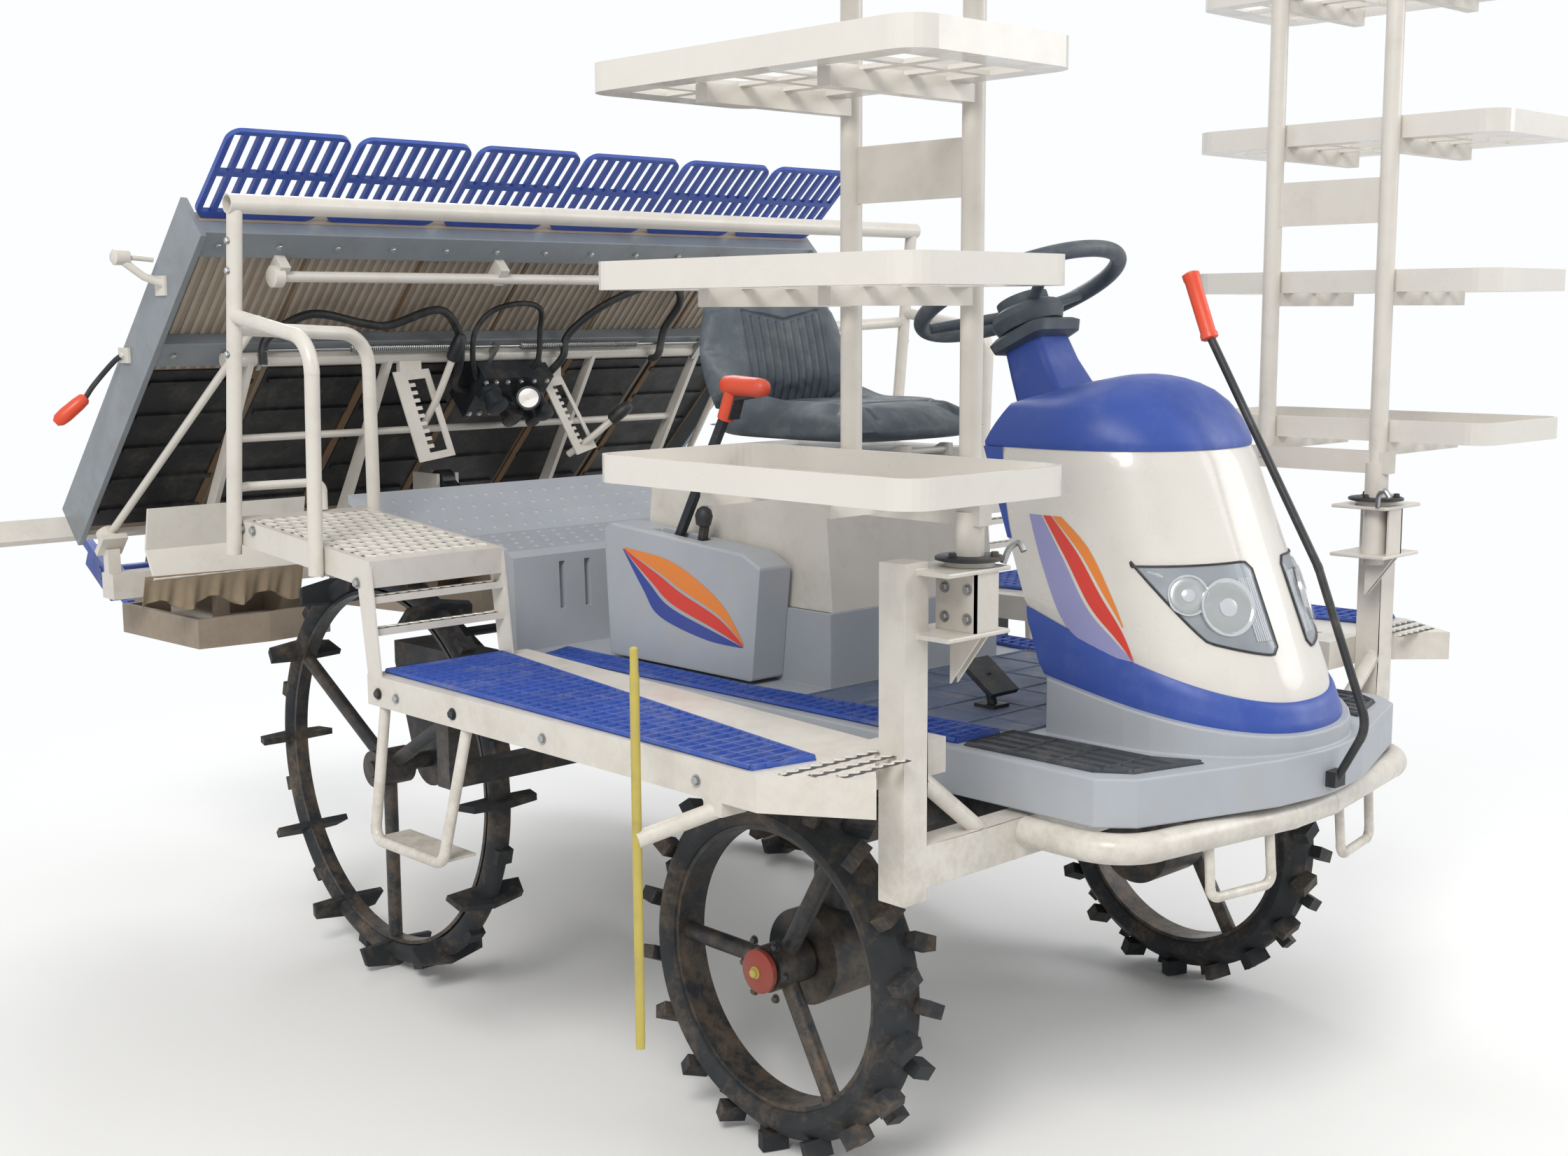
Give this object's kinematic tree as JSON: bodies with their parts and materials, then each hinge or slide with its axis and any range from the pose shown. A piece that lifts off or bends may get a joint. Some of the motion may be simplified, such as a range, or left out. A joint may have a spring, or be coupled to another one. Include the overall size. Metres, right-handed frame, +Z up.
{
  "type": "riding rice transplanter",
  "caption": "Riding rice transplanter with lugged front wheels, paddle rear wheels, rounded hood, spare seedling racks and a lifting planter with sloping seedling table.",
  "frame": {"origin": "on the ground under the middle of the bounding box", "axes": "+X forward, +Y to the machine's left, +Z up"},
  "size_m": [3.1541, 2.14, 2.1429],
  "materials": {
    "white_paint": "cream-white paint",
    "white_panel": "cream-white moulded panel",
    "blue_plastic": "blue moulded panel",
    "blue_mat": "blue ridged mat",
    "grey_plastic": "light grey moulded panel",
    "black_iron": "black painted iron",
    "rubber": "black rubber",
    "slate_vinyl": "slate vinyl",
    "tan_board": "tan moulded board",
    "clear_lamp": "clear lamp lens"
  },
  "bodies": {
    "chassis": {"main_frame": "black_iron", "transmission": "black_iron", "engine_block": "black_iron", "front_axle": "black_iron", "rear_axle": "black_iron", "floor_cover": "grey_plastic", "rear_deck": "grey_plastic", "seat_box": "white_paint", "lever_box": "grey_plastic", "control_levers": "black_iron", "pedals": "black_iron", "hood_body": "white_panel", "hood_top": "blue_plastic", "hood_skirt": "blue_plastic", "headlights": "clear_lamp", "bumper": "white_paint", "floor_mats": "blue_mat", "side_steps": "white_paint", "step_mats": "blue_mat", "platforms": "white_paint", "handrails": "white_paint", "rack_posts": "white_paint", "centre_marker": "black_iron", "side_markers": "white_paint"},
    "seat": {"seat_cushion": "slate_vinyl", "seat_back": "slate_vinyl"},
    "steering": {"steering_wheel": "slate_vinyl"},
    "steer_right": {"knuckle_right": "black_iron"},
    "steer_left": {"knuckle_left": "black_iron"},
    "wheel_front_right": {"rim_front_right": "black_iron", "tyre_front_right": "rubber"},
    "wheel_front_left": {"rim_front_left": "black_iron", "tyre_front_left": "rubber"},
    "wheel_rear_right": {"rim_rear_right": "black_iron", "tyre_rear_right": "rubber"},
    "wheel_rear_left": {"rim_rear_left": "black_iron", "tyre_rear_left": "rubber"},
    "links_lower": {"lift_links_lower": "black_iron"},
    "link_upper": {"lift_link_upper": "black_iron"},
    "planter": {"planter_frame": "white_paint", "planting_cases": "black_iron", "floats": "tan_board", "mud_guards": "white_paint"},
    "rotors": {"planting_rotors": "blue_plastic"},
    "table": {"seedling_table": "tan_board", "table_frame": "grey_plastic", "table_racks": "blue_plastic"},
    "marker_right": {"line_marker_right": "white_paint"},
    "marker_left": {"line_marker_left": "white_paint"},
    "rack_right": {"rack_frame_right": "white_paint", "rack_trays_right": "white_panel"},
    "rack_left": {"rack_frame_left": "white_paint", "rack_trays_left": "white_panel"}
  },
  "joints": [
    {"name": "steer_right", "type": "hinge", "parent": "chassis", "child": "steer_right", "pos_m": [0.838, -0.465, 0.535], "axis": [0, 0, 1], "range_deg": [-40, 40]},
    {"name": "front_wheel_right", "type": "hinge", "parent": "steer_right", "child": "wheel_front_right", "pos_m": [0.838, -0.6, 0.325], "axis": [0, 1, 0], "continuous": true},
    {"name": "rear_wheel_right", "type": "hinge", "parent": "chassis", "child": "wheel_rear_right", "pos_m": [-0.402, -0.6, 0.45], "axis": [0, 1, 0], "continuous": true},
    {"name": "steer_left", "type": "hinge", "parent": "chassis", "child": "steer_left", "pos_m": [0.838, 0.465, 0.535], "axis": [0, 0, 1], "range_deg": [-40, 40]},
    {"name": "front_wheel_left", "type": "hinge", "parent": "steer_left", "child": "wheel_front_left", "pos_m": [0.838, 0.6, 0.325], "axis": [0, 1, 0], "continuous": true},
    {"name": "rear_wheel_left", "type": "hinge", "parent": "chassis", "child": "wheel_rear_left", "pos_m": [-0.402, 0.6, 0.45], "axis": [0, 1, 0], "continuous": true},
    {"name": "steering_wheel", "type": "hinge", "parent": "chassis", "child": "steering", "pos_m": [0.85, 0, 1.458], "axis": [-0.4067, 0, 0.9135], "range_deg": [-360, 360]},
    {"name": "lift", "type": "hinge", "parent": "chassis", "child": "links_lower", "pos_m": [-0.542, 0, 0.52], "axis": [0, -1, 0], "range_deg": [0, 52]},
    {"name": "lift_upper", "type": "hinge", "parent": "chassis", "child": "link_upper", "pos_m": [-0.542, 0, 0.72], "axis": [0, -1, 0], "range_deg": [0, 52]},
    {"name": "planter_level", "type": "hinge", "parent": "links_lower", "child": "planter", "pos_m": [-1.0766, 0, 0.79239], "axis": [0, -1, 0], "range_deg": [-52, 0]},
    {"name": "table_shift", "type": "slide", "parent": "planter", "child": "table", "axis": [0, 1, 0], "range_m": [-0.14, 0.14]},
    {"name": "rotor_drive", "type": "hinge", "parent": "planter", "child": "rotors", "pos_m": [-1.452, 0, 0.79], "axis": [0, 1, 0], "continuous": true},
    {"name": "marker_left", "type": "hinge", "parent": "planter", "child": "marker_left", "pos_m": [-1.172, 0.866, 0.912], "axis": [-0.7046, 0, 0.7096], "range_deg": [0, 100]},
    {"name": "marker_right", "type": "hinge", "parent": "planter", "child": "marker_right", "pos_m": [-1.172, -0.866, 0.912], "axis": [0.7046, 0, -0.7096], "range_deg": [0, 100]},
    {"name": "rack_swing_right", "type": "hinge", "parent": "chassis", "child": "rack_right", "pos_m": [1.25, -0.604, 0.9965], "axis": [0, 0, 1], "range_deg": [0, 90]},
    {"name": "rack_swing_left", "type": "hinge", "parent": "chassis", "child": "rack_left", "pos_m": [1.25, 0.604, 0.9965], "axis": [0, 0, -1], "range_deg": [0, 90]},
    {"name": "seat_tilt", "type": "hinge", "parent": "chassis", "child": "seat", "pos_m": [0.622, 0, 1.158], "axis": [0, 1, 0], "range_deg": [0, 45]}
  ],
  "couplings": [
    {"joint": "steer_left", "follows": "steer_right", "ratio": 1},
    {"joint": "steering_wheel", "follows": "steer_right", "ratio": 9},
    {"joint": "lift_upper", "follows": "lift", "ratio": 1},
    {"joint": "planter_level", "follows": "lift", "ratio": -1}
  ]
}
